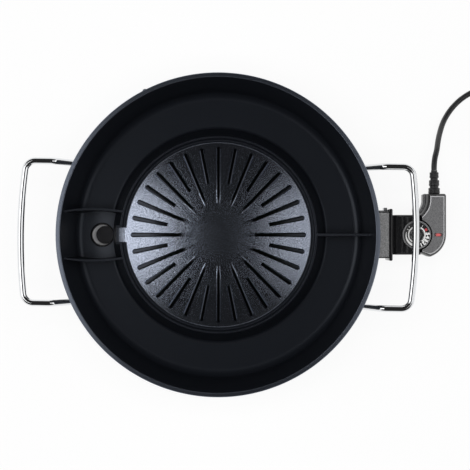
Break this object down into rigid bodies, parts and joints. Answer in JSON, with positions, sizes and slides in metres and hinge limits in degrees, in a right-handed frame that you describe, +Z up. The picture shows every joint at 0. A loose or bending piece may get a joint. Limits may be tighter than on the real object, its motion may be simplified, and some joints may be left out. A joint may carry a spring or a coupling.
{
  "type": "electric hot pot with grill plate",
  "caption": "Round electric pan with a raised ribbed grill island inside a ring-shaped soup channel, wire handles, drip tray, and a plug-in thermostat controller with its cord.",
  "frame": {"origin": "on the table, under the middle of the box of the cooker with its controller plugged in and without the free cord", "axes": "+Z up, +X from the pan towards the controller, +Y towards the side where the cord leaves"},
  "size_m": [0.6735, 0.3835, 0.118],
  "materials": {
    "pan_coat": "cast aluminium with a black non-stick coat, satin",
    "bright_wire": "chromed steel wire",
    "steel": "plain steel",
    "sheet": "folded steel sheet",
    "element_sheath": "heat-darkened steel tube",
    "aluminium": "plain aluminium",
    "brass": "plain brass",
    "dark_plastic": "dark heat-proof plastic, satin",
    "gloss_black": "glossy black plastic",
    "grey_plastic": "fine-textured dark grey plastic",
    "switch_body": "pale insulating plastic",
    "red_lens": "clear red plastic",
    "lamp_glass": "small glass lamp",
    "rubber": "soft black rubber",
    "cord_rubber": "black flexible sheath"
  },
  "bodies": {
    "cooker": {"pan": "pan_coat", "drain_tube": "steel", "heating_element": "element_sheath", "terminal_pin_1": "steel", "terminal_pin_2": "steel", "element_clip_1": "steel", "element_clip_2": "steel", "element_clip_3": "steel", "heat_shield": "sheet", "shield_screw_1": "steel", "shield_screw_2": "steel", "shield_screw_3": "steel", "probe_pocket": "aluminium", "socket_housing": "dark_plastic", "earth_contact": "brass", "leg_1": "dark_plastic", "leg_2": "dark_plastic", "leg_3": "dark_plastic", "leg_4": "dark_plastic", "foot_pad_1": "rubber", "foot_pad_2": "rubber", "foot_pad_3": "rubber", "foot_pad_4": "rubber", "leg_screw_1": "steel", "leg_screw_2": "steel", "leg_screw_3": "steel", "leg_screw_4": "steel", "handle_left": "bright_wire", "handle_right": "bright_wire", "handle_bracket_1": "dark_plastic", "handle_bracket_2": "dark_plastic", "handle_bracket_3": "dark_plastic", "handle_bracket_4": "dark_plastic", "tray_runner_left": "sheet", "tray_runner_right": "sheet"},
    "drip_tray": {"drip_tray": "sheet"},
    "controller": {"nose_block": "gloss_black", "contact_sleeve_1": "brass", "contact_sleeve_2": "brass", "temperature_probe": "steel", "thermostat_switch": "switch_body", "upper_shell": "grey_plastic", "lower_shell": "grey_plastic", "shell_screw_1": "steel", "shell_screw_2": "steel", "shell_screw_3": "steel", "cord_clamp": "switch_body", "lamp_lens": "red_lens", "pilot_lamp": "lamp_glass", "cord_boot": "cord_rubber", "cord_lead": "cord_rubber", "cord_coil": "cord_rubber", "cord_tail": "cord_rubber", "cord_tie": "cord_rubber", "plug_body": "cord_rubber", "plug_pin_1": "steel", "plug_pin_2": "steel"},
    "dial": {"dial_knob": "dark_plastic", "dial_shaft": "steel"}
  },
  "joints": [
    {"name": "tray_pull", "type": "slide", "parent": "cooker", "child": "drip_tray", "axis": [-1, 0, 0], "range_m": [0, 0.12]},
    {"name": "controller_pull", "type": "slide", "parent": "cooker", "child": "controller", "axis": [1, 0, 0], "range_m": [0, 0.085]},
    {"name": "dial_turn", "type": "hinge", "parent": "controller", "child": "dial", "pos_m": [0.22035, 0, 0.0665], "axis": [0, 0, 1], "range_deg": [-270, 0]}
  ]
}
